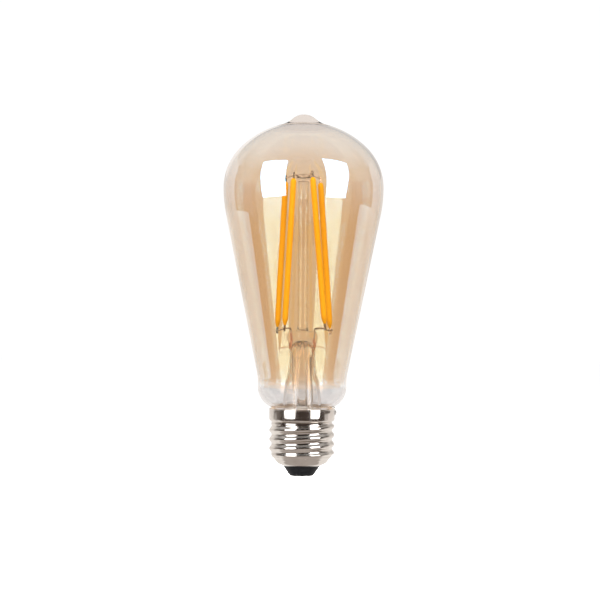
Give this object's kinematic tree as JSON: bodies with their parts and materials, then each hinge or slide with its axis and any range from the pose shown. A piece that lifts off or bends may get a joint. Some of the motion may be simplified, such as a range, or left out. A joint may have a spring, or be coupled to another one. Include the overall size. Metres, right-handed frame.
{
  "type": "smart light bulb",
  "caption": "Pear-shaped amber glass filament lamp with a screw cap, a glass stem that holds upright LED filaments, and a wireless driver inside the cap.",
  "frame": {"origin": "bottom centre of the cap's centre contact, on the lamp's axis", "axes": "+Z along the lamp's axis from the cap to the glass tip; +X towards the solder joint on the cap's rim; +Y away from the viewer"},
  "size_m": [0.064, 0.064, 0.1444],
  "materials": {
    "amber_glass": "polished, metallic amber coating",
    "clear_glass": "polished",
    "nickel_wire": "drawn wire",
    "copper_seal": "oxidised copper sheath",
    "copper_wire": "drawn copper",
    "phosphor": "silicone with phosphor",
    "clear_strip": "ground",
    "led_chip": "polished crystal",
    "tab_metal": "stamped",
    "nickel_plate": "bright nickel plate",
    "black_insulator": "glossy",
    "tinned_metal": "tinned",
    "pin_brass": "turned",
    "cement": "cured resin cement",
    "circuit_board": "solder mask",
    "chip_package": "moulded epoxy",
    "capacitor_can": "sleeved can",
    "ferrite": "sintered",
    "resistor_coat": "lacquer",
    "chip_parts": "fired",
    "shield_can": "tinned sheet",
    "aerial_jacket": "jacketed wire",
    "wire_jacket": "jacketed wire",
    "sleeve_film": "film"
  },
  "bodies": {
    "root": {"glass_bulb": "amber_glass", "stem_glass": "clear_glass", "exhaust_tube": "clear_glass", "centre_rod": "clear_glass", "support_wire_front": "nickel_wire", "support_wire_rear": "nickel_wire", "lead_wire_left": "nickel_wire", "lead_wire_right": "nickel_wire", "dumet_seal_left": "copper_seal", "dumet_seal_right": "copper_seal", "outer_lead_left": "copper_wire", "outer_lead_right": "copper_wire", "filament_1": "phosphor", "filament_2": "phosphor", "filament_3": "phosphor", "filament_4": "phosphor", "filament_substrate_1": "clear_strip", "filament_substrate_2": "clear_strip", "filament_substrate_3": "clear_strip", "filament_substrate_4": "clear_strip", "led_chips_1": "led_chip", "led_chips_2": "led_chip", "led_chips_3": "led_chip", "led_chips_4": "led_chip", "filament_tabs_1": "tab_metal", "filament_tabs_2": "tab_metal", "filament_tabs_3": "tab_metal", "filament_tabs_4": "tab_metal", "cap_shell": "nickel_plate", "cap_insulator": "black_insulator", "centre_contact": "tinned_metal", "contact_pin": "pin_brass", "basing_cement": "cement", "driver_board": "circuit_board", "bridge_rectifier": "chip_package", "driver_chip": "chip_package", "electrolytic_capacitor": "capacitor_can", "inductor_core": "ferrite", "inductor_winding": "copper_wire", "fuse_resistor": "resistor_coat", "board_passives": "chip_parts", "wifi_board": "circuit_board", "wifi_shield": "shield_can", "wifi_antenna": "aerial_jacket", "live_wire": "wire_jacket", "neutral_wire": "nickel_wire", "rim_solder": "tinned_metal", "insulating_sleeve": "sleeve_film"}
  },
  "joints": []
}
